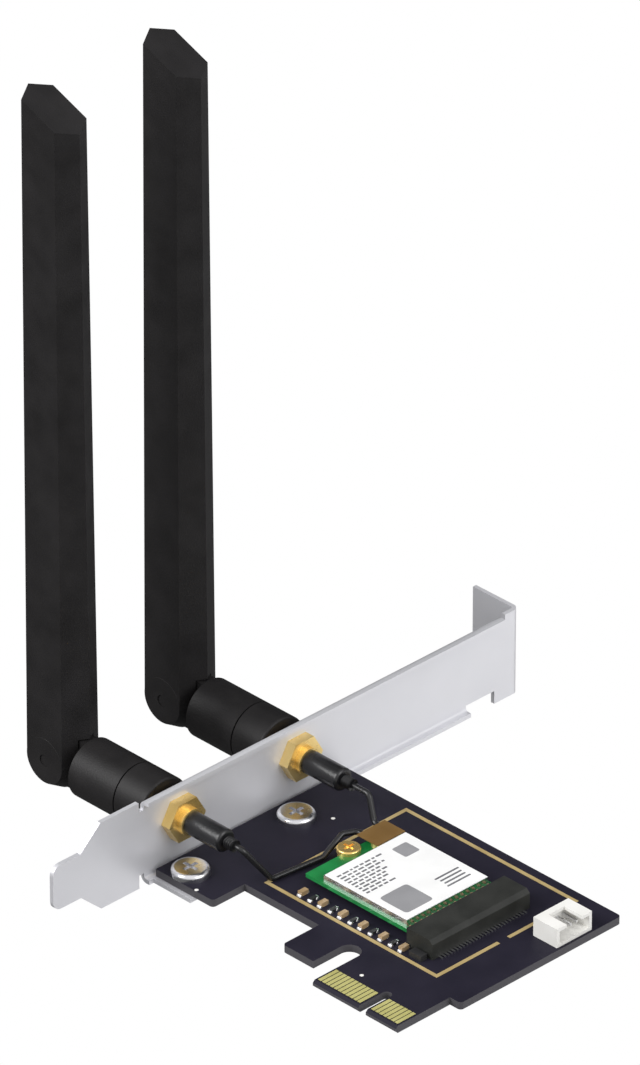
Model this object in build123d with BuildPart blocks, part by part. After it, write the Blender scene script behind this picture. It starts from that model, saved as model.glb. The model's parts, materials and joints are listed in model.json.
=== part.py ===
# A wireless network card: slotted board, folded steel bracket, radio module and two folding antennas.
# The origin is the centre of the slot key on the board's leading edge, half way through the board.
import os
from math import hypot, radians, tan
from build123d import *

os.makedirs("parts", exist_ok=True)

# Fits
slip = 0.05          # radial play of turning fits
seam = 0.30          # gap between pieces that move past each other
loose = 0.15         # radial play of a bulkhead hole

# Board outline
board_t = 1.57
board_left = -59.3
board_right = 11.3
board_far = 55.0
shoulder_y = 13.7    # long edge that the contact tab stands out from
lobe_y = 5.6         # lobe beside the bracket
lobe_right = -44.3
hook_left = -25.0
hook_right = -17.05
hook_y = 4.5
tab_left = -12.6
tab_right = 8.6
key_w = 1.9
key_depth = 7.2
bevel = 0.5
corner_r = 0.8

# Edge contacts
contact_pitch = 1.0
contact_w = 0.78
contact_start = 0.9
contact_len = 4.6
plating = 0.06

# Printed border
border_left = -42.1
border_right = 2.4
border_low = 16.5
border_high = 53.0
border_w = 0.8
border_gap_low = 34.0
border_gap = 2.6

# Bracket
sheet = 0.86
bend_r = 0.6
bracket_len = 120.02
bracket_w = 18.42
bracket_gap = 1.0    # from the board's edge to the inner face
bracket_drop = 0.85  # ears below the lips
bracket_y = -19.13   # end of the tongue
tongue_w = 9.4
tongue_len = 6.9
taper_len = 5.0
lip = 1.35
upper_lip_start = 22.7
upper_lip_stop = 5.0   # from the bracket's far end
lower_lip_stop = 14.0
ear_len = 6.5
relief = 1.2
relief_depth = 0.5
tab_len = 11.43
notch_w = 4.42
notch_depth = 5.2
notch_in = 5.6       # notch centre from the outer face
lug_w = 9.0
lug_len = 11.0

# Board screws
screw_in = 6.4       # from the inner face
screw_near = 9.2
screw_far = 36.2
screw_d = 3.0
screw_head_d = 7.4
screw_head_h = 1.5
screw_hole_play = 0.2

# Jacks
jack_y_near = 12.6
jack_pitch = 30.0
jack_z = 8.8
jack_d = 6.2
jack_hex = 8.0
jack_hex_t = 2.2
jack_out = 7.0       # thread beyond the bracket
neck_d = 3.6
neck_len = 5.0
washer_d = 9.0
washer_t = 0.5
nut_t = 2.0
sleeve_d = 4.6
sleeve_len = 9.0
coax_d = 1.15

# Antenna joint
barrel_d = 12.0
coupling_gap = 0.6   # from the nut to the coupling
coupling_len = 7.2
spigot_d = 8.0
spigot_len = 3.2
ring_d = 9.0
ring_t = 0.8
ring_depth = 0.45    # how far the ring reaches into the spigot
pin_x = -91.4
pin_d = 2.4
tongue_r = 6.0
fork_slot = 3.9

# Antenna blade: a long six-sided section, sharp along the barrel's line
blade_w = 15.0       # edge to edge at the pin
blade_flat = 9.4     # flat face at the pin
blade_d = 9.4        # between the flat faces
blade_taper = 0.3    # degrees on each face
foot_step = 0.05     # foot proud of the tube
blade_top = 146.3    # at the high edge of the cap
cap_drop = 5.3
cap_h = 10.0
cap_plug = 4.0
wall = 1.6
cavity_start = 10.0  # above the pin
radiator_d = 3.0
radiator_gap = 8.5   # below the cap's plug
radiator_seat = 2.0

# Radio module and its socket
module_x = -36.4
module_len = 30.0
module_w = 22.0
module_y = 32.5
module_t = 0.8
module_lift = 1.6
shield_inset = 4.2
shield_gap = 2.0     # from the shield to the socket
shield_side = 0.5
shield_h = 1.3
shield_wall = 0.2
label_t = 0.08
label_inset = 0.15
standoff_d = 4.2
module_screw_d = 2.0
module_screw_head_d = 4.6
module_screw_head_h = 0.9
socket_grip = 2.4
socket_len = 6.6
socket_w = 25.0
socket_h = 4.0
socket_pins = 28
socket_pitch = 0.8
chip_pitch = 5.2
chip_row_gap = 2.6
chip_row_start = 2.0
chip_l = 1.8
chip_w = 1.0
plug_d = 2.6
plug_h = 1.3
plug_x = -33.9
plug_near_y = 37.6
plug_far_y = 41.2
tape_t = 0.15

# White header
header_x = 4.7
header_len = 6.0
header_y = 43.4
header_w = 9.0
header_h = 4.0
header_wall = 0.7
header_pins = 4
header_pitch = 1.6

# Values that follow from the sizes above
half_t = board_t / 2
bx = board_left - bracket_gap
bx_out = bx - sheet
bracket_low = -half_t - sheet - bracket_drop
bracket_high = bracket_low + bracket_w
bracket_mid = (bracket_low + bracket_high) / 2
bracket_end = bracket_y + bracket_len
lip_low = -half_t - sheet
bend_out = bend_r + sheet
lip_start_y = bracket_y + upper_lip_start
lip_end_y = bracket_end - upper_lip_stop
low_end_y = bracket_end - lower_lip_stop
jack_y_far = jack_y_near + jack_pitch
nut_x = bx_out - washer_t
coupling_x = nut_x - nut_t - coupling_gap
coupling_end = coupling_x - coupling_len
knuckle_x = coupling_end - seam
module_bottom = half_t + module_lift
module_top = module_bottom + module_t
shield_top = module_top + shield_h
socket_x = module_x + module_len - socket_grip
shield_len = socket_x - shield_gap - module_x - shield_inset
shield_w = module_w - 2 * shield_side
shield_x = module_x + shield_inset + shield_len / 2
chip_row_y = module_y - module_w / 2 - chip_row_gap
chip_row_x = module_x + chip_row_start
face_yz = Plane(origin=(bx, 0, 0), x_dir=(0, 1, 0), z_dir=(1, 0, 0))

# Board: one outline with a hook, a slot and the keyed contact tab
slot_mid = (hook_right + tab_left) / 2
slot_r = (tab_left - hook_right) / 2
with BuildPart() as circuit_board:
    with BuildSketch(Plane.XY.offset(-half_t)) as board_face:
        with BuildLine():
            Polyline((board_left, lobe_y), (lobe_right, lobe_y), (lobe_right, shoulder_y),
                     (hook_left, shoulder_y), (hook_left, hook_y), (hook_right, hook_y),
                     (hook_right, shoulder_y - slot_r))
            ThreePointArc((hook_right, shoulder_y - slot_r), (slot_mid, shoulder_y),
                          (tab_left, shoulder_y - slot_r))
            Polyline((tab_left, shoulder_y - slot_r), (tab_left, 0), (tab_right, 0),
                     (tab_right, shoulder_y), (board_right, shoulder_y), (board_right, board_far),
                     (board_left, board_far), (board_left, lobe_y))
        make_face()
        fillet(board_face.vertices().group_by(Axis.X)[-1], corner_r)
        fillet(board_face.vertices().sort_by_distance((lobe_right, lobe_y))[0], corner_r)
        fillet(board_face.vertices().sort_by_distance((hook_left, hook_y))[0], corner_r)
        with Locations((0, 0)):
            Rectangle(key_w, 2 * (key_depth - key_w / 2), mode=Mode.SUBTRACT)
        with Locations((0, key_depth - key_w / 2)):
            Circle(key_w / 2, mode=Mode.SUBTRACT)
        with Locations((bx + screw_in, screw_near), (bx + screw_in, screw_far)):
            Circle(screw_d / 2 + screw_hole_play, mode=Mode.SUBTRACT)
        with Locations((module_x, module_y)):
            Circle(module_screw_d / 2, mode=Mode.SUBTRACT)
    extrude(amount=board_t)
    chamfer(circuit_board.edges().filter_by(Axis.X).group_by(Axis.Y)[0], bevel)
circuit_board.part.label = "circuit_board"
export_step(circuit_board.part, "parts/circuit_board.step")

# Edge contacts: eleven and seven plated strips on both faces
contact_z = half_t + plating / 2
contact_y = contact_start + contact_len / 2
long_mid = -(key_w / 2 + 0.825 + 5 * contact_pitch)
short_mid = key_w / 2 + 0.825 + 3 * contact_pitch
with BuildPart() as edge_contacts:
    with Locations((long_mid, contact_y, contact_z), (long_mid, contact_y, -contact_z)):
        with GridLocations(contact_pitch, 1, 11, 1):
            Box(contact_w, contact_len, plating)
    with Locations((short_mid, contact_y, contact_z), (short_mid, contact_y, -contact_z)):
        with GridLocations(contact_pitch, 1, 7, 1):
            Box(contact_w, contact_len, plating)
edge_contacts.part.label = "edge_contacts"
export_step(edge_contacts.part, "parts/edge_contacts.step")

# Plated border line on the component face
border_x = (border_left + border_right) / 2
border_y = (border_low + border_high) / 2
border_l = border_right - border_left
border_d = border_high - border_low
with BuildPart() as board_border:
    with BuildSketch(Plane.XY.offset(half_t)):
        with Locations((border_x, border_y)):
            Rectangle(border_l, border_d)
            Rectangle(border_l - 2 * border_w, border_d - 2 * border_w, mode=Mode.SUBTRACT)
        with Locations((border_right, border_gap_low)):
            Rectangle(4 * border_w, border_gap, mode=Mode.SUBTRACT)
    extrude(amount=plating)
board_border.part.label = "board_border"
export_step(board_border.part, "parts/board_border.step")

# Bracket: flat face, two lips bent inwards, two board lugs and the screw tab bent outwards
edge_low = lip_low + bend_out
edge_high = bracket_high - bend_out
ear_y = bracket_end - ear_len
half_tongue = tongue_w / 2
taper_y = bracket_y + tongue_len
shoulder_end = taper_y + taper_len
bend_y = bracket_end - bend_out
stub = 0.4
with BuildPart() as bracket:
    with BuildSketch(face_yz) as plate:
        with BuildLine():
            Polyline((bracket_y, bracket_mid - half_tongue), (taper_y, bracket_mid - half_tongue),
                     (shoulder_end, bracket_low), (lip_start_y - relief, bracket_low),
                     (lip_start_y - relief, edge_low + relief_depth),
                     (lip_start_y, edge_low + relief_depth), (lip_start_y, edge_low),
                     (low_end_y, edge_low), (low_end_y, edge_low + relief_depth),
                     (ear_y, edge_low + relief_depth), (ear_y, bracket_low),
                     (bend_y, bracket_low), (bend_y, bracket_high),
                     (lip_end_y + relief, bracket_high),
                     (lip_end_y + relief, edge_high - relief_depth),
                     (lip_end_y, edge_high - relief_depth), (lip_end_y, edge_high),
                     (lip_start_y, edge_high), (lip_start_y, edge_high - relief_depth),
                     (lip_start_y - relief, edge_high - relief_depth),
                     (lip_start_y - relief, bracket_high), (shoulder_end, bracket_high),
                     (taper_y, bracket_mid + half_tongue), (bracket_y, bracket_mid + half_tongue),
                     close=True)
        make_face()
        fillet(plate.vertices().group_by(Axis.X)[0], 2.0)
        with Locations((jack_y_near, jack_z), (jack_y_far, jack_z)):
            Circle(jack_d / 2 + loose, mode=Mode.SUBTRACT)
    extrude(amount=-sheet)
    with BuildSketch(Plane.XZ.offset(-lip_start_y)) as lower:
        with BuildLine():
            Polyline((bx_out, lip_low), (bx + lip, lip_low), (bx + lip, lip_low + sheet),
                     (bx, lip_low + sheet), (bx, edge_low + stub), (bx_out, edge_low + stub), close=True)
        make_face()
        fillet(lower.vertices().sort_by_distance((bx_out, lip_low))[0], bend_out)
        fillet(lower.vertices().sort_by_distance((bx, lip_low + sheet))[0], bend_r)
    extrude(amount=lip_start_y - low_end_y)
    with BuildSketch(Plane.XZ.offset(-lip_start_y)) as upper:
        with BuildLine():
            Polyline((bx_out, bracket_high), (bx + lip, bracket_high),
                     (bx + lip, bracket_high - sheet), (bx, bracket_high - sheet),
                     (bx, edge_high - stub), (bx_out, edge_high - stub), close=True)
        make_face()
        fillet(upper.vertices().sort_by_distance((bx_out, bracket_high))[0], bend_out)
        fillet(upper.vertices().sort_by_distance((bx, bracket_high - sheet))[0], bend_r)
    extrude(amount=lip_start_y - lip_end_y)
    with BuildSketch(Plane.XY.offset(bracket_low)) as fold:
        with BuildLine():
            Polyline((bx, bend_y - stub), (bx, bracket_end), (bx - tab_len, bracket_end),
                     (bx - tab_len, bracket_end - sheet), (bx_out, bracket_end - sheet),
                     (bx_out, bend_y - stub), close=True)
        make_face()
        fillet(fold.vertices().sort_by_distance((bx, bracket_end))[0], bend_out)
        fillet(fold.vertices().sort_by_distance((bx_out, bracket_end - sheet))[0], bend_r)
    extrude(amount=bracket_w)
    with BuildSketch(Plane.XZ.offset(-bracket_end)):
        with Locations((bx_out - notch_in, bracket_low + notch_depth - notch_w / 2)):
            Circle(notch_w / 2)
        with Locations((bx_out - notch_in, bracket_low)):
            Rectangle(notch_w, 2 * notch_depth - notch_w)
    extrude(amount=3 * sheet, both=True, mode=Mode.SUBTRACT)
    with BuildSketch(Plane.XY.offset(lip_low)):
        with Locations((bx + (bend_r + lug_len) / 2, screw_near), (bx + (bend_r + lug_len) / 2, screw_far)):
            Rectangle(lug_len - bend_r, lug_w)
        with Locations((bx + screw_in, screw_near), (bx + screw_in, screw_far)):
            Circle(screw_d / 2, mode=Mode.SUBTRACT)
    extrude(amount=sheet)
bracket.part.label = "bracket"
export_step(bracket.part, "parts/bracket.step")

# Board screws: wide pan heads with a cross recess
with BuildPart() as board_screws:
    with Locations((bx + screw_in, screw_near, half_t), (bx + screw_in, screw_far, half_t)):
        Cylinder(screw_head_d / 2, screw_head_h, align=(Align.CENTER, Align.CENTER, Align.MIN))
    fillet(board_screws.edges().group_by(Axis.Z)[-1], 0.55 * screw_head_h)
    with Locations((bx + screw_in, screw_near, half_t), (bx + screw_in, screw_far, half_t)):
        Cylinder(screw_d / 2, board_t + sheet, align=(Align.CENTER, Align.CENTER, Align.MAX))
    with Locations((bx + screw_in, screw_near, half_t + screw_head_h),
                   (bx + screw_in, screw_far, half_t + screw_head_h)):
        Box(3.4, 0.8, 1.4, mode=Mode.SUBTRACT)
        Box(0.8, 3.4, 1.4, mode=Mode.SUBTRACT)
board_screws.part.label = "board_screws"
export_step(board_screws.part, "parts/board_screws.step")

# Radio module
with BuildPart() as radio_board:
    with BuildSketch(Plane.XY.offset(module_bottom)):
        with Locations((module_x + module_len / 2, module_y)):
            Rectangle(module_len, module_w)
        with Locations((module_x, module_y)):
            Circle(module_screw_d / 2 + screw_hole_play, mode=Mode.SUBTRACT)
    extrude(amount=module_t)
radio_board.part.label = "radio_board"
export_step(radio_board.part, "parts/radio_board.step")

with BuildPart() as radio_shield:
    with Locations((shield_x, module_y, module_top)):
        Box(shield_len, shield_w, shield_h, align=(Align.CENTER, Align.CENTER, Align.MIN))
        Box(shield_len - 2 * shield_wall, shield_w - 2 * shield_wall, shield_h - shield_wall,
            align=(Align.CENTER, Align.CENTER, Align.MIN), mode=Mode.SUBTRACT)
radio_shield.part.label = "radio_shield"
export_step(radio_shield.part, "parts/radio_shield.step")

with BuildPart() as radio_chip:
    with Locations((shield_x, module_y, module_top)):
        Box(9, 8, 0.8, align=(Align.CENTER, Align.CENTER, Align.MIN))
radio_chip.part.label = "radio_chip"
export_step(radio_chip.part, "parts/radio_chip.step")

with BuildPart() as radio_label:
    with Locations((shield_x, module_y, shield_top)):
        Box(shield_len - 2 * label_inset, shield_w - 2 * label_inset, label_t,
            align=(Align.CENTER, Align.CENTER, Align.MIN))
radio_label.part.label = "radio_label"
export_step(radio_label.part, "parts/radio_label.step")

with BuildPart() as radio_standoff:
    with Locations((module_x, module_y, half_t)):
        Cylinder(standoff_d / 2, module_lift, align=(Align.CENTER, Align.CENTER, Align.MIN))
        Cylinder(module_screw_d / 2, module_lift, align=(Align.CENTER, Align.CENTER, Align.MIN),
                 mode=Mode.SUBTRACT)
radio_standoff.part.label = "radio_standoff"
export_step(radio_standoff.part, "parts/radio_standoff.step")

with BuildPart() as radio_screw:
    with Locations((module_x, module_y, module_top)):
        Cylinder(module_screw_head_d / 2, module_screw_head_h,
                 align=(Align.CENTER, Align.CENTER, Align.MIN))
    fillet(radio_screw.edges().group_by(Axis.Z)[-1], 0.35)
    with Locations((module_x, module_y, module_top)):
        Cylinder(module_screw_d / 2, module_t + module_lift + half_t,
                 align=(Align.CENTER, Align.CENTER, Align.MAX))
    with Locations((module_x, module_y, module_top + module_screw_head_h)):
        Box(2.4, 0.6, 0.9, mode=Mode.SUBTRACT)
        Box(0.6, 2.4, 0.9, mode=Mode.SUBTRACT)
radio_screw.part.label = "radio_screw"
export_step(radio_screw.part, "parts/radio_screw.step")

# Socket that the module's edge plugs into
with BuildPart() as socket_housing:
    with Locations((socket_x, module_y, half_t)):
        Box(socket_len, socket_w, socket_h, align=(Align.MIN, Align.CENTER, Align.MIN))
    chamfer(socket_housing.edges().filter_by(Axis.Y).group_by(Axis.Z)[-1].sort_by(Axis.X)[-1], 0.8)
    with Locations((socket_x, module_y, module_bottom + module_t / 2)):
        Box(socket_grip, module_w, module_t, align=(Align.MIN, Align.CENTER, Align.CENTER),
            mode=Mode.SUBTRACT)
socket_housing.part.label = "socket_housing"
export_step(socket_housing.part, "parts/socket_housing.step")

with BuildPart() as socket_contacts:
    with Locations((socket_x + socket_len + 0.45, module_y, half_t + 0.1)):
        with GridLocations(1, socket_pitch, 1, socket_pins):
            Box(0.9, 0.4, 0.2)
socket_contacts.part.label = "socket_contacts"
export_step(socket_contacts.part, "parts/socket_contacts.step")

# White header with four pins
head_low = half_t + header_wall
head_mid = half_t + header_h / 2
with BuildPart() as header_housing:
    with Locations((header_x, header_y, half_t)):
        Box(header_len, header_w, header_h, align=(Align.MIN, Align.CENTER, Align.MIN))
    with Locations((header_x + header_wall, header_y, head_low)):
        Box(header_len, header_w - 2 * header_wall, header_h - 2 * header_wall,
            align=(Align.MIN, Align.CENTER, Align.MIN), mode=Mode.SUBTRACT)
    with Locations((header_x + 2 * header_wall, header_y, head_mid)):
        Box(header_len, 0.45 * header_w, header_h, align=(Align.MIN, Align.CENTER, Align.MIN),
            mode=Mode.SUBTRACT)
    with Locations((header_x, header_y, head_mid)):
        with GridLocations(1, header_pitch, 1, header_pins):
            Box(4 * header_wall, 0.5, 0.5, mode=Mode.SUBTRACT)
header_housing.part.label = "header_housing"
export_step(header_housing.part, "parts/header_housing.step")

with BuildPart() as header_prongs:
    with Locations((header_x - 0.7, header_y, head_mid)):
        with GridLocations(1, header_pitch, 1, header_pins):
            Box(5, 0.5, 0.5, align=(Align.MIN, Align.CENTER, Align.CENTER))
    with Locations((header_x - 0.7, header_y, half_t)):
        with GridLocations(1, header_pitch, 1, header_pins):
            Box(0.5, 0.5, header_h / 2 + 0.25, align=(Align.MIN, Align.CENTER, Align.MIN))
header_prongs.part.label = "header_prongs"
export_step(header_prongs.part, "parts/header_prongs.step")

# Small parts on the board, in one row beside the module
with BuildPart() as chip_capacitors:
    with Locations((chip_row_x + 2.5 * chip_pitch, chip_row_y, half_t)):
        with GridLocations(chip_pitch, 1, 6, 1):
            Box(chip_w, chip_l, 0.9 * chip_w, align=(Align.CENTER, Align.CENTER, Align.MIN))
chip_capacitors.part.label = "chip_capacitors"
export_step(chip_capacitors.part, "parts/chip_capacitors.step")

with BuildPart() as chip_resistors:
    with Locations((chip_row_x + 2.5 * chip_pitch, chip_row_y, half_t)):
        with GridLocations(chip_pitch, 1, 5, 1):
            Box(0.8 * chip_w, 0.9 * chip_l, 0.5 * chip_w, align=(Align.CENTER, Align.CENTER, Align.MIN))
chip_resistors.part.label = "chip_resistors"
export_step(chip_resistors.part, "parts/chip_resistors.step")

with BuildPart() as regulator:
    with Locations((chip_row_x + 5.7 * chip_pitch, chip_row_y, half_t)):
        Box(1.7 * chip_l, 1.7 * chip_w, 1.1 * chip_w, align=(Align.CENTER, Align.CENTER, Align.MIN))
regulator.part.label = "regulator"
export_step(regulator.part, "parts/regulator.step")

# Tape over the two aerial plugs on the module
tape_x = module_x + shield_inset - 0.1
with BuildPart() as plug_tape:
    with Locations((tape_x, (plug_near_y + plug_far_y) / 2, module_top + plug_h)):
        Box(5.4, plug_far_y - plug_near_y + 3.6, tape_t, align=(Align.MAX, Align.CENTER, Align.MIN))
plug_tape.part.label = "plug_tape"
export_step(plug_tape.part, "parts/plug_tape.step")

# Jacks, aerial leads and antennas, one set near the tongue and one further up the bracket
hex_end = bx + jack_hex_t
collar_end = hex_end + 1.2
neck_end = collar_end + neck_len
sleeve_end = collar_end + sleeve_len
coax_z = half_t + plating + coax_d / 2 + 0.05
lead_z = module_top + plug_h / 2
shoulder_x = pin_x + blade_w / 2 + seam
tongue_t = fork_slot - 2 * seam
groove_x = coupling_end + spigot_len / 2
cap_low = blade_top - cap_h
half_w = blade_w / 2 - foot_step
half_d = blade_d / 2 - foot_step
half_flat = blade_flat / 2
inset = (cap_low - jack_z) * tan(radians(blade_taper))
slant = hypot(half_d, half_w - half_flat)
high_d = half_d - inset
high_w = half_w - inset * slant / half_d
high_flat = half_w - (inset * slant + (half_w - half_flat) * high_d) / half_d
cavity_w = 2 * (high_flat - wall / 2)
cavity_d = 2 * (high_d - wall)
cavity_low = jack_z + cavity_start
radiator_low = cavity_low - radiator_seat
radiator_len = cap_low - cap_plug - radiator_gap - radiator_low
for side, jack_y, plug_y in (("near", jack_y_near, plug_near_y), ("far", jack_y_far, plug_far_y)):
    axis_plane = Plane(origin=(0, jack_y, jack_z), x_dir=(0, 1, 0), z_dir=(1, 0, 0))

    # Jack: hex flange and crimp neck inside, thread through the bracket
    with BuildPart() as jack_body:
        with BuildSketch(axis_plane.offset(bx)):
            RegularPolygon(jack_hex / 2, 6, major_radius=False)
        extrude(amount=jack_hex_t)
        with BuildSketch(axis_plane.offset(hex_end)):
            Circle(0.75 * neck_d)
        extrude(amount=collar_end - hex_end)
        with BuildSketch(axis_plane.offset(collar_end)):
            Circle(neck_d / 2)
        extrude(amount=neck_len)
        with BuildSketch(axis_plane.offset(bx)):
            Circle(jack_d / 2)
        extrude(amount=-sheet - jack_out)
        with BuildSketch(axis_plane.offset(bx_out - jack_out)):
            Circle(0.35 * jack_d)
        extrude(amount=0.6 * jack_out, mode=Mode.SUBTRACT)
    jack_body.part.label = f"{side}_jack_body"
    export_step(jack_body.part, f"parts/{side}_jack_body.step")

    with BuildPart() as lock_washer:
        with BuildSketch(axis_plane.offset(nut_x)):
            Circle(washer_d / 2)
            Circle(jack_d / 2 + loose, mode=Mode.SUBTRACT)
        extrude(amount=washer_t)
    lock_washer.part.label = f"{side}_lock_washer"
    export_step(lock_washer.part, f"parts/{side}_lock_washer.step")

    with BuildPart() as jack_nut:
        with BuildSketch(axis_plane.offset(nut_x)):
            RegularPolygon(jack_hex / 2, 6, major_radius=False)
            Circle(jack_d / 2, mode=Mode.SUBTRACT)
        extrude(amount=-nut_t)
    jack_nut.part.label = f"{side}_jack_nut"
    export_step(jack_nut.part, f"parts/{side}_jack_nut.step")

    # Shrink sleeve over the crimp neck and the start of the lead
    with BuildPart() as lead_sleeve:
        with BuildSketch(axis_plane.offset(collar_end)):
            Circle(sleeve_d / 2)
        extrude(amount=sleeve_len)
        fillet(lead_sleeve.edges().group_by(Axis.X)[-1], 0.6)
        with BuildSketch(axis_plane.offset(collar_end)):
            Circle(neck_d / 2)
        extrude(amount=neck_len, mode=Mode.SUBTRACT)
        with BuildSketch(axis_plane.offset(neck_end)):
            Circle(coax_d / 2)
        extrude(amount=sleeve_len, mode=Mode.SUBTRACT)
    lead_sleeve.part.label = f"{side}_lead_sleeve"
    export_step(lead_sleeve.part, f"parts/{side}_lead_sleeve.step")

    # Aerial lead from the crimp neck to its plug on the module
    if side == "near":
        route_points = [(neck_end, jack_y, jack_z), (sleeve_end + 4.0, jack_y, jack_z),
                        (sleeve_end + 6.6, jack_y + 5.0, coax_z), (module_x - 3.6, module_y - 3, coax_z),
                        (module_x - 4.2, plug_y - 2.6, lead_z), (module_x - 2.8, plug_y, lead_z),
                        (plug_x, plug_y, lead_z)]
    else:
        route_points = [(neck_end, jack_y, jack_z), (sleeve_end + 6.5, jack_y, jack_z),
                        (sleeve_end + 8.6, (jack_y + plug_y) / 2, lead_z), (plug_x, plug_y, lead_z)]
    with BuildPart() as lead:
        with BuildLine() as route:
            FilletPolyline(*route_points, radius=1.3)
        with BuildSketch(Plane(origin=route.line @ 0, z_dir=route.line % 0)):
            Circle(coax_d / 2)
        sweep()
        with Locations((plug_x, plug_y, module_top)):
            Cylinder(plug_d / 2, plug_h, align=(Align.CENTER, Align.CENTER, Align.MIN), mode=Mode.SUBTRACT)
    lead.part.label = f"{side}_lead"
    export_step(lead.part, f"parts/{side}_lead.step")

    with BuildPart() as lead_plug:
        with Locations((plug_x, plug_y, module_top)):
            Cylinder(plug_d / 2, plug_h, align=(Align.CENTER, Align.CENTER, Align.MIN))
    lead_plug.part.label = f"{side}_lead_plug"
    export_step(lead_plug.part, f"parts/{side}_lead_plug.step")

    # Coupling screwed on the jack, with a chamber for the turning spigot
    with BuildPart() as coupling:
        with BuildSketch(axis_plane.offset(coupling_x)):
            Circle(barrel_d / 2)
            Circle(jack_d / 2, mode=Mode.SUBTRACT)
        extrude(amount=-coupling_len)
        fillet(coupling.edges().group_by(Axis.X)[-1].sort_by(SortBy.LENGTH)[-1], 0.5)
        with BuildSketch(axis_plane.offset(coupling_end)):
            Circle(spigot_d / 2 + slip)
        extrude(amount=spigot_len + seam, mode=Mode.SUBTRACT)
        with BuildSketch(axis_plane.offset(groove_x - ring_t / 2)):
            Circle(ring_d / 2)
        extrude(amount=ring_t, mode=Mode.SUBTRACT)
    coupling.part.label = f"{side}_coupling"
    export_step(coupling.part, f"parts/{side}_coupling.step")

    with BuildPart() as swivel_ring:
        with BuildSketch(axis_plane.offset(groove_x - ring_t / 2)):
            Circle(ring_d / 2)
            Circle(spigot_d / 2 - ring_depth, mode=Mode.SUBTRACT)
        extrude(amount=ring_t)
    swivel_ring.part.label = f"{side}_swivel_ring"
    export_step(swivel_ring.part, f"parts/{side}_swivel_ring.step")

    # Knuckle: turning barrel with a grooved spigot and the hinge tongue
    with BuildPart() as knuckle:
        with BuildSketch(axis_plane.offset(knuckle_x)):
            Circle(barrel_d / 2)
        extrude(amount=shoulder_x - knuckle_x)
        with BuildSketch(axis_plane.offset(knuckle_x)):
            Circle(spigot_d / 2)
        extrude(amount=spigot_len)
        with BuildSketch(axis_plane.offset(groove_x - ring_t / 2 - seam)):
            Circle(spigot_d)
            Circle(spigot_d / 2 - ring_depth - 2 * slip, mode=Mode.SUBTRACT)
        extrude(amount=ring_t + 2 * seam, mode=Mode.SUBTRACT)
        with BuildSketch(Plane.XZ.offset(-jack_y)):
            with Locations((pin_x, jack_z)):
                Circle(tongue_r - seam)
                Rectangle(blade_w / 2 + 2 * seam, 2 * (tongue_r - seam), align=(Align.MIN, Align.CENTER))
        extrude(amount=tongue_t / 2, both=True)
        with BuildSketch(Plane.XZ.offset(-jack_y)):
            with Locations((pin_x, jack_z)):
                Circle(pin_d / 2 + slip)
        extrude(amount=tongue_t, both=True, mode=Mode.SUBTRACT)
    knuckle.part.label = f"{side}_knuckle"
    export_step(knuckle.part, f"parts/{side}_knuckle.step")

    with BuildPart() as hinge_pin:
        with BuildSketch(Plane.XZ.offset(-jack_y)):
            with Locations((pin_x, jack_z)):
                Circle(pin_d / 2)
        extrude(amount=blade_d / 2 - 0.2, both=True)
    hinge_pin.part.label = f"{side}_hinge_pin"
    export_step(hinge_pin.part, f"parts/{side}_hinge_pin.step")

    # Blade: six-sided hollow tube, with a forked foot turned about the pin
    with BuildPart() as blade:
        with BuildSketch(Plane.XY.offset(jack_z)):
            with BuildLine():
                Polyline((pin_x, jack_y - blade_d / 2), (pin_x + blade_flat / 2, jack_y - blade_d / 2),
                         (pin_x + blade_w / 2, jack_y), (pin_x + blade_flat / 2, jack_y + blade_d / 2),
                         (pin_x, jack_y + blade_d / 2), close=True)
            make_face()
        revolve(axis=Axis((pin_x, jack_y, jack_z), (0, 1, 0)))
        with BuildSketch(Plane.XY.offset(jack_z)):
            with Locations((pin_x, jack_y)):
                Polygon((-half_w, 0), (-half_flat, -half_d), (half_flat, -half_d),
                        (half_w, 0), (half_flat, half_d), (-half_flat, half_d))
        extrude(amount=cap_low - jack_z, taper=blade_taper)
        with Locations((pin_x, jack_y, jack_z + tongue_r)):
            Box(2 * blade_w, fork_slot, 4 * tongue_r, align=(Align.CENTER, Align.CENTER, Align.MAX),
                mode=Mode.SUBTRACT)
        with BuildSketch(Plane.XZ.offset(-jack_y)):
            with Locations((pin_x, jack_z)):
                Circle(pin_d / 2)
        extrude(amount=blade_d, both=True, mode=Mode.SUBTRACT)
        with BuildSketch(Plane.XY.offset(cavity_low)):
            with Locations((pin_x, jack_y)):
                Rectangle(cavity_w, cavity_d)
        extrude(amount=blade_top, mode=Mode.SUBTRACT)
        with BuildSketch(Plane.XY.offset(cavity_low - radiator_seat)):
            with Locations((pin_x, jack_y)):
                Circle(radiator_d / 2)
        extrude(amount=radiator_seat, mode=Mode.SUBTRACT)
    blade.part.label = f"{side}_blade"
    export_step(blade.part, f"parts/{side}_blade.step")

    with BuildPart() as blade_cap:
        with BuildSketch(Plane.XY.offset(cap_low)):
            with Locations((pin_x, jack_y)):
                Polygon((-high_w, 0), (-high_flat, -high_d), (high_flat, -high_d),
                        (high_w, 0), (high_flat, high_d), (-high_flat, high_d))
        extrude(amount=cap_h, taper=blade_taper)
        with BuildSketch(Plane.XZ.offset(-jack_y)):
            with BuildLine():
                Polyline((pin_x - blade_w, blade_top + blade_w), (pin_x - high_w, blade_top),
                         (pin_x + high_w, blade_top - cap_drop), (pin_x + blade_w, blade_top - 2 * cap_drop),
                         (pin_x + blade_w, blade_top + blade_w), close=True)
            make_face()
        extrude(amount=blade_d, both=True, mode=Mode.SUBTRACT)
        with BuildSketch(Plane.XY.offset(cap_low)):
            with Locations((pin_x, jack_y)):
                Rectangle(cavity_w, cavity_d)
        extrude(amount=-cap_plug)
    blade_cap.part.label = f"{side}_blade_cap"
    export_step(blade_cap.part, f"parts/{side}_blade_cap.step")

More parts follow.
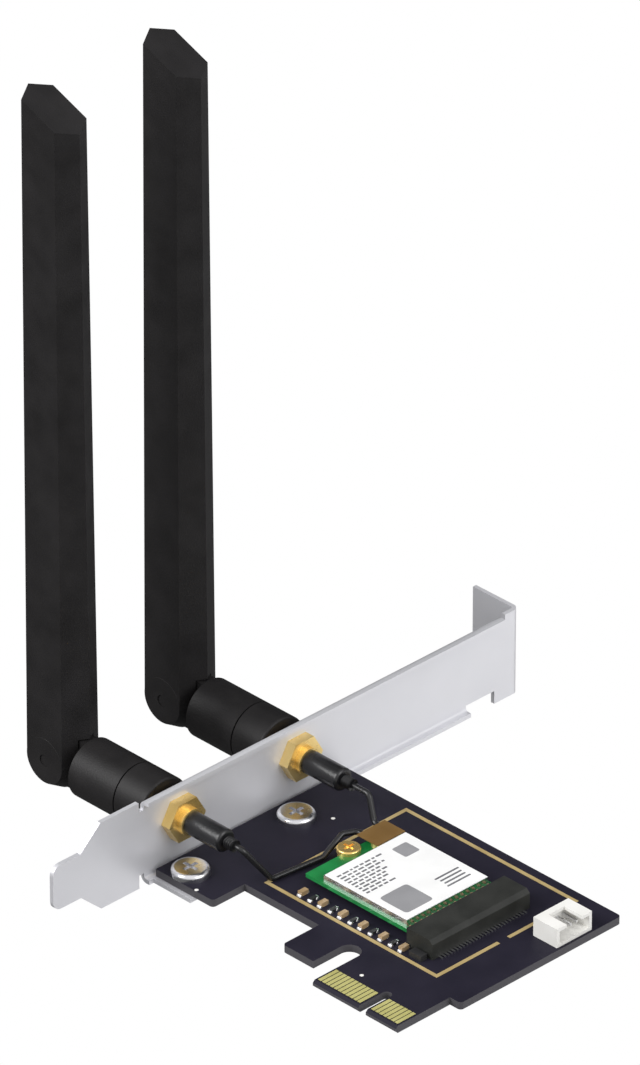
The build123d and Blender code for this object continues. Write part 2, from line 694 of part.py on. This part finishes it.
    with BuildPart() as radiator:
        with Locations((pin_x, jack_y, radiator_low)):
            Cylinder(radiator_d / 2, radiator_len, align=(Align.CENTER, Align.CENTER, Align.MIN))
    radiator.part.label = f"{side}_radiator"
    export_step(radiator.part, f"parts/{side}_radiator.step")
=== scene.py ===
import json
import math

import bpy
import numpy as np
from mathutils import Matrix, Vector


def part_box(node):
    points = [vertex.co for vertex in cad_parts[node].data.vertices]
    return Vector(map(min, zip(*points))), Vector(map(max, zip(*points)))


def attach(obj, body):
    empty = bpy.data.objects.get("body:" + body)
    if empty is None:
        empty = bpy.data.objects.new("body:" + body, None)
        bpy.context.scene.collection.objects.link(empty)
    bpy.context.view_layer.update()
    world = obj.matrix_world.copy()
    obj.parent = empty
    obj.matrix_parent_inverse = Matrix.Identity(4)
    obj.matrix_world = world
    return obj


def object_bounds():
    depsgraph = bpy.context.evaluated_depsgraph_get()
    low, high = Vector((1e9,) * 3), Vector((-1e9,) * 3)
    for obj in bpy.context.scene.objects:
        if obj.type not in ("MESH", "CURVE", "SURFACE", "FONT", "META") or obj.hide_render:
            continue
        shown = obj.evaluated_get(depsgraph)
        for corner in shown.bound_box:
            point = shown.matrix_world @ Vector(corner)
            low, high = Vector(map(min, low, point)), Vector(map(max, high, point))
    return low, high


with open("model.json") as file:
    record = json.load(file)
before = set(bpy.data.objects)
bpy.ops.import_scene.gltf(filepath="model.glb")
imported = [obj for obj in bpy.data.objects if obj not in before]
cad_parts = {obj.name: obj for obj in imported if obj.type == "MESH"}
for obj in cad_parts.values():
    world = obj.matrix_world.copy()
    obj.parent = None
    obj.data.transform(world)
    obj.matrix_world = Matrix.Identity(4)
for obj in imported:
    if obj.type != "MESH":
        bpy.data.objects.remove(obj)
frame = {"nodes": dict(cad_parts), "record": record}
cadLow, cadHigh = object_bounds()
print("frame loaded")


def newMaterial(name):
    mat = bpy.data.materials.new(name)
    mat.use_nodes = True
    nodes = mat.node_tree.nodes
    return mat, nodes, mat.node_tree.links, nodes["Principled BSDF"]


def surface(name, dark, light, rough, metal=0.0, scale=900.0, bump=0.02, roughSpread=0.08, coat=0.0, glint=0.5):
    # colour and roughness drift with noise in object space; a finer noise lifts the surface
    mat, nodes, links, shader = newMaterial(name)
    coord = nodes.new("ShaderNodeTexCoord")
    broad = nodes.new("ShaderNodeTexNoise")
    broad.inputs["Scale"].default_value = scale * 0.15
    broad.inputs["Detail"].default_value = 4
    fine = nodes.new("ShaderNodeTexNoise")
    fine.inputs["Scale"].default_value = scale * 3
    ramp = nodes.new("ShaderNodeValToRGB")
    ramp.color_ramp.elements[0].position = 0.3
    ramp.color_ramp.elements[1].position = 0.7
    ramp.color_ramp.elements[0].color = (*dark, 1)
    ramp.color_ramp.elements[1].color = (*light, 1)
    spread = nodes.new("ShaderNodeMapRange")
    spread.inputs["To Min"].default_value = max(rough - roughSpread, 0.02)
    spread.inputs["To Max"].default_value = rough + roughSpread
    lift = nodes.new("ShaderNodeBump")
    lift.inputs["Strength"].default_value = bump
    lift.inputs["Distance"].default_value = 0.0002
    for tex in (broad, fine):
        links.new(coord.outputs["Object"], tex.inputs["Vector"])
    links.new(broad.outputs["Fac"], ramp.inputs["Fac"])
    links.new(ramp.outputs["Color"], shader.inputs["Base Color"])
    links.new(broad.outputs["Fac"], spread.inputs["Value"])
    links.new(spread.outputs["Result"], shader.inputs["Roughness"])
    links.new(fine.outputs["Fac"], lift.inputs["Height"])
    links.new(lift.outputs["Normal"], shader.inputs["Normal"])
    shader.inputs["Metallic"].default_value = metal
    shader.inputs["Coat Weight"].default_value = coat
    shader.inputs["Specular IOR Level"].default_value = glint
    return mat


def boardSurface():
    # dark mask on the two faces, pale glass fibre on the cut edge
    mat = surface("boardMask", (0.015, 0.0138, 0.023), (0.022, 0.020, 0.032), 0.5, scale=700, bump=0.05, glint=0.08)
    nodes, links = mat.node_tree.nodes, mat.node_tree.links
    shader = nodes["Principled BSDF"]
    geometry = nodes.new("ShaderNodeNewGeometry")
    split = nodes.new("ShaderNodeSeparateXYZ")
    upright = nodes.new("ShaderNodeMath")
    upright.operation = "ABSOLUTE"
    edge = nodes.new("ShaderNodeMath")
    edge.operation = "LESS_THAN"
    edge.inputs[1].default_value = 0.5
    mix = nodes.new("ShaderNodeMix")
    mix.data_type = "RGBA"
    mix.inputs[7].default_value = (0.085, 0.082, 0.09, 1)
    ramp = next(n for n in nodes if n.type == "VALTORGB")
    links.new(geometry.outputs["True Normal"], split.inputs["Vector"])
    links.new(split.outputs["Z"], upright.inputs[0])
    links.new(upright.outputs["Value"], edge.inputs[0])
    links.new(edge.outputs["Value"], mix.inputs[0])
    links.new(ramp.outputs["Color"], mix.inputs[6])
    links.new(mix.outputs[2], shader.inputs["Base Color"])
    return mat


looks = {
    "gold_plate": surface("goldPlate", (0.72, 0.52, 0.16), (0.86, 0.66, 0.26), 0.3, 1.0, 1200, 0.03),
    "nickel_steel": surface("nickelSteel", (0.68, 0.68, 0.71), (0.78, 0.78, 0.81), 0.42, 0.4, 160, 0.03),
    "screw_steel": surface("screwSteel", (0.66, 0.66, 0.68), (0.80, 0.80, 0.82), 0.26, 1.0, 900, 0.05),
    "green_board": surface("greenBoard", (0.006, 0.16, 0.035), (0.012, 0.25, 0.06), 0.35, 0.0, 1500, 0.08, coat=0.3),
    "chip_black": surface("chipBlack", (0.015, 0.015, 0.016), (0.03, 0.03, 0.03), 0.5, 0.0, 1500, 0.1),
    "label_white": surface("labelWhite", (0.80, 0.80, 0.79), (0.88, 0.88, 0.87), 0.55, 0.0, 900, 0.03),
    "brass_turned": surface("brassTurned", (0.86, 0.60, 0.20), (0.98, 0.76, 0.34), 0.28, 0.8, 1200, 0.04),
    "dark_plastic": surface("darkPlastic", (0.017, 0.018, 0.016), (0.030, 0.031, 0.028), 0.5, 0.0, 1500, 0.12, glint=0.3),
    "white_plastic": surface("whitePlastic", (0.76, 0.75, 0.71), (0.84, 0.83, 0.80), 0.42, 0.0, 1200, 0.05),
    "chip_tan": surface("chipTan", (0.30, 0.20, 0.10), (0.42, 0.30, 0.17), 0.4, 0.0, 1500, 0.05),
    "brown_tape": surface("brownTape", (0.14, 0.075, 0.02), (0.21, 0.12, 0.035), 0.32, 0.0, 700, 0.06, coat=0.4),
    "sleeve_black": surface("sleeveBlack", (0.008, 0.008, 0.009), (0.016, 0.016, 0.017), 0.28, 0.0, 900, 0.15),
    "antenna_black": surface("antennaBlack", (0.012, 0.0112, 0.0114), (0.018, 0.0168, 0.0172), 0.46, 0.0, 1100, 0.18, glint=0.25),
    "board_mask": boardSurface(),
}
looks["contact_gold"] = surface("contactGold", (0.60, 0.56, 0.20), (0.70, 0.66, 0.26), 0.32, 0.35, 1400, 0.03)
looks["border_gold"] = surface("borderGold", (0.42, 0.31, 0.13), (0.56, 0.43, 0.20), 0.5, 0.2, 1400, 0.05)
looks["block_grey"] = surface("blockGrey", (0.24, 0.24, 0.25), (0.30, 0.30, 0.31), 0.6, 0.0, 900, 0.02)
looks["print_grey"] = surface("printGrey", (0.10, 0.10, 0.11), (0.18, 0.18, 0.19), 0.6, 0.0, 900, 0.02)
slots = {part["node"]: part["material_slot"] for part in frame["record"]["subparts"]}
slots["edge_contacts"] = "contact_gold"
slots["board_border"] = "border_gold"
slots["near_hinge_pin"] = slots["far_hinge_pin"] = "antenna_black"
for name, node in frame["nodes"].items():
    node.data.materials.clear()
    node.data.materials.append(looks[slots[name]])
print("materials set")


def meshPiece(name, verts, faces, look, body, smooth=True):
    mesh = bpy.data.meshes.new(name)
    mesh.from_pydata(verts.tolist(), [], faces)
    mesh.materials.append(looks[look])
    mesh.polygons.foreach_set("use_smooth", np.full(len(mesh.polygons), smooth))
    piece = bpy.data.objects.new(name, mesh)
    bpy.context.scene.collection.objects.link(piece)
    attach(piece, body)
    return piece


def pads(name, centres, half, base, height, power, look, rings=5, steps=24):
    # x = cx + a r C, y = cy + b r S with C, S = signed cos, sin to 2/power; z = base + h (1 - r^6)
    centres = np.asarray(centres, float)
    half = np.broadcast_to(np.asarray(half, float), centres.shape)
    r = np.linspace(0.15, 1, rings)[None, :, None]
    t = np.linspace(0, 2 * np.pi, steps, endpoint=False)[None, None, :]
    c = np.sign(np.cos(t)) * np.abs(np.cos(t)) ** (2 / power)
    s = np.sign(np.sin(t)) * np.abs(np.sin(t)) ** (2 / power)
    x = centres[:, 0, None, None] + half[:, 0, None, None] * r * c
    y = centres[:, 1, None, None] + half[:, 1, None, None] * r * s
    z = base + height * (1 - r ** 6) + 0 * x
    verts = np.stack([x, y, z], -1).reshape(-1, 3)
    start = np.arange(len(centres))[:, None, None] * rings * steps
    ring = np.arange(rings - 1)[None, :, None] * steps
    k = np.arange(steps)[None, None, :]
    a = start + ring + k
    b = start + ring + (k + 1) % steps
    quads = np.stack([a, a + steps, b + steps, b], -1).reshape(-1, 4).tolist()
    tops = (start[:, 0] + np.arange(steps)[None, :]).tolist()
    return meshPiece(name, verts, quads + tops, look, "card")


labelLow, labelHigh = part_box("radio_label")
labelSpan = labelHigh - labelLow
labelPrint = {"lift": 0.00001, "line": 0.011, "gap": 0.018, "rows": 9, "shortRows": 4}
rng = np.random.default_rng(4)
bars = []  # place across and along the label, then half sizes, as shares of its sides
for row in range(labelPrint["rows"]):
    along, reach = 0.05, 0.31 + 0.25 * rng.random()
    while along < reach:  # each line is a run of short bars
        length = 0.025 + 0.05 * rng.random()
        bars.append((0.10 + 0.045 * row, along + length / 2, labelPrint["line"], length / 2))
        along += length + labelPrint["gap"]
for row in range(labelPrint["shortRows"]):  # a second group of single bars
    bars.append((0.72 + 0.05 * row, 0.78, labelPrint["line"], 0.12 + 0.03 * rng.random()))
labelBlocks = {"lift": 0.00001, "places": [(0.76, 0.24, 0.17, 0.17), (0.20, 0.80, 0.09, 0.09)]}
for name, marks, ink, look in (("labelPrint", bars, labelPrint, "print_grey"),
                                  ("labelBlocks", labelBlocks["places"], labelBlocks, "block_grey")):
    marks = np.array(marks) * np.tile([labelSpan.x, labelSpan.y], 2)
    pads(name, marks[:, :2] + [labelLow.x, labelLow.y], marks[:, 2:], labelHigh.z, ink["lift"], 10,
         look, rings=2, steps=24)
print("label printed")

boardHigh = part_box("circuit_board")[1]
capLow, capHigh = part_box("chip_capacitors")
chipRow = {"count": 6, "chip": 0.001, "pad": 0.0005}
chipX = np.linspace(capLow.x + chipRow["chip"] / 2, capHigh.x - chipRow["chip"] / 2, chipRow["count"])
midX = (chipX[1:] + chipX[:-1]) / 2
ends = [(x, y) for x in chipX for y in (capLow.y, capHigh.y)] + [(x, y) for x in midX for y in (capLow.y + 0.0001, capHigh.y - 0.0001)]
pads("chipSolder", ends, (0.00055, chipRow["pad"]), boardHigh.z, 0.0005, 4, "screw_steel")

moduleLow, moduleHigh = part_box("radio_board")
shieldLow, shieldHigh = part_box("radio_shield")
strip = {"count": 15, "half": (0.0004, 0.00025), "rise": 0.0003}
stripX = np.full(strip["count"], shieldHigh.x + 0.0006)
stripY = np.linspace(moduleLow.y + 0.001, moduleHigh.y - 0.001, strip["count"])
pads("moduleParts", np.stack([stripX, stripY], 1), strip["half"], moduleHigh.z, strip["rise"], 6, "chip_tan")
print("small parts added")

screwLow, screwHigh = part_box("board_screws")
vias = {"radius": 0.0004, "points": [(screwHigh.x + 0.0012, screwLow.y + 0.0005), (screwHigh.x + 0.0012, screwHigh.y + 0.001),
                                     (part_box("edge_contacts")[0].x + 0.0045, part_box("edge_contacts")[1].y + 0.002)]}
pads("viaRings", vias["points"], vias["radius"], boardHigh.z, 0.00005, 2, "white_plastic")


def ribs(name, node, look):
    # tube about the sleeve's axis: radius = r0 + a cos(2 pi n x / L)
    low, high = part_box(node)
    shape = {"length": 0.0026, "radius": 0.00105, "wave": 0.00016, "turns": 5}
    x = np.linspace(0, 1, 61)[:, None]
    t = np.linspace(0, 2 * np.pi, 32, endpoint=False)[None, :]
    radius = shape["radius"] + shape["wave"] * np.cos(2 * np.pi * shape["turns"] * x)
    y = (low.y + high.y) / 2 + radius * np.cos(t)
    z = (low.z + high.z) / 2 + radius * np.sin(t)
    verts = np.stack([high.x - 0.0002 + shape["length"] * x + 0 * t, y, z], -1).reshape(-1, 3)
    i = np.arange(60)[:, None] * 32
    k = np.arange(32)[None, :]
    quads = np.stack([i + k, i + 32 + k, i + 32 + (k + 1) % 32, i + (k + 1) % 32], -1).reshape(-1, 4)
    ends = [list(range(31, -1, -1)), list(range(60 * 32, 61 * 32))]
    return meshPiece(name, verts, quads.tolist() + ends, look, "card")


ribs("nearLeadRibs", "near_lead_sleeve", "sleeve_black")
ribs("farLeadRibs", "far_lead_sleeve", "sleeve_black")
print("leads dressed")

world = bpy.data.worlds.new("studio")
bpy.context.scene.world = world
world.use_nodes = True
nodes, links = world.node_tree.nodes, world.node_tree.links
background = nodes["Background"]
coord = nodes.new("ShaderNodeTexCoord")
facing = nodes.new("ShaderNodeVectorMath")  # bright on the camera's side, dark behind the object
facing.operation = "DOT_PRODUCT"
facing.inputs[1].default_value = (0.65, -0.65, 0.39)
sky = nodes.new("ShaderNodeValToRGB")
sky.color_ramp.elements[0].position = 0.25
sky.color_ramp.elements[0].color = (0.05, 0.05, 0.055, 1)
sky.color_ramp.elements[1].position = 0.7
sky.color_ramp.elements[1].color = (0.95, 0.95, 0.96, 1)
half = nodes.new("ShaderNodeMapRange")
half.inputs["From Min"].default_value = -1
path = nodes.new("ShaderNodeLightPath")
seen = nodes.new("ShaderNodeMix")
seen.data_type = "RGBA"
seen.inputs[7].default_value = (1, 1, 1, 1)
links.new(coord.outputs["Generated"], facing.inputs[0])
links.new(facing.outputs["Value"], half.inputs["Value"])
links.new(half.outputs["Result"], sky.inputs["Fac"])
links.new(path.outputs["Is Camera Ray"], seen.inputs[0])
links.new(sky.outputs["Color"], seen.inputs[6])
links.new(seen.outputs[2], background.inputs["Color"])

floorMesh = bpy.data.meshes.new("floor")
barrelLow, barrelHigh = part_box("near_knuckle")
barrelZ = (barrelLow.z + barrelHigh.z) / 2
floorZ = 2 * barrelZ - cadHigh.z - 0.005  # clear of an antenna that is swung to point down
floorMesh.from_pydata([(-4, -4, floorZ), (4, -4, floorZ), (4, 4, floorZ), (-4, 4, floorZ)], [], [(0, 1, 2, 3)])
floor = bpy.data.objects.new("floor", floorMesh)
bpy.context.scene.collection.objects.link(floor)
floorMat, nodes, links, shader = newMaterial("floorWhite")
shader.inputs["Roughness"].default_value = 0.9
coord = nodes.new("ShaderNodeTexCoord")
split = nodes.new("ShaderNodeSeparateXYZ")
links.new(coord.outputs["Object"], split.inputs["Vector"])
patch = nodes.new("ShaderNodeMath")  # reflections see a pale patch beyond the board, and dark floor elsewhere
patch.operation = "MULTIPLY"
for place, (axis, start, end) in enumerate((("X", -0.02, 0.05), ("Y", 0.05, 0.12))):
    rise = nodes.new("ShaderNodeMapRange")
    rise.inputs["From Min"].default_value = start
    rise.inputs["From Max"].default_value = end
    links.new(split.outputs[axis], rise.inputs["Value"])
    links.new(rise.outputs["Result"], patch.inputs[place])
shade = nodes.new("ShaderNodeMapRange")
shade.inputs["To Min"].default_value = 0.08
shade.inputs["To Max"].default_value = 0.9
links.new(patch.outputs["Value"], shade.inputs["Value"])
links.new(shade.outputs["Result"], shader.inputs["Base Color"])
glow = nodes.new("ShaderNodeEmission")
path = nodes.new("ShaderNodeLightPath")
mix = nodes.new("ShaderNodeMixShader")
links.new(path.outputs["Is Camera Ray"], mix.inputs[0])
links.new(shader.outputs["BSDF"], mix.inputs[1])
links.new(glow.outputs["Emission"], mix.inputs[2])
links.new(mix.outputs["Shader"], nodes["Material Output"].inputs["Surface"])
floorMesh.materials.append(floorMat)


def softbox(name, place, aim, size, power):
    data = bpy.data.lights.new(name, "AREA")
    data.size = size
    data.energy = power
    lamp = bpy.data.objects.new(name, data)
    bpy.context.scene.collection.objects.link(lamp)
    lamp.location = place
    lamp.rotation_euler = (Vector(aim) - Vector(place)).to_track_quat("-Z", "Y").to_euler()


softbox("keyLight", (-0.45, -0.75, 0.65), (-0.05, 0.03, 0.03), 0.6, 8.5)
softbox("fillLight", (0.8, 0.2, 0.5), (-0.05, 0.03, 0.05), 0.6, 3.5)
print("stage lit")

view = {"azimuth": 45.57, "elevation": 30.75, "distance": 2.0, "pixelsPerMetre": 5477.0, "aim": (-0.0596, 0.0479, 0.0546)}
a, e = math.radians(view["azimuth"]), math.radians(view["elevation"])
back = Vector((math.sin(a) * math.cos(e), -math.cos(a) * math.cos(e), math.sin(e)))
cameraData = bpy.data.cameras.new("camera")
cameraData.sensor_fit = "HORIZONTAL"
cameraData.sensor_width = 36
cameraData.lens = view["pixelsPerMetre"] * view["distance"] * 36 / 640
cameraData.clip_end = 20
camera = bpy.data.objects.new("camera", cameraData)
bpy.context.scene.collection.objects.link(camera)
camera.location = Vector(view["aim"]) + back * view["distance"]
camera.rotation_euler = (-back).to_track_quat("-Z", "Y").to_euler()
bpy.context.scene.camera = camera
bpy.context.scene.view_settings.view_transform = "Standard"

print("camera set")
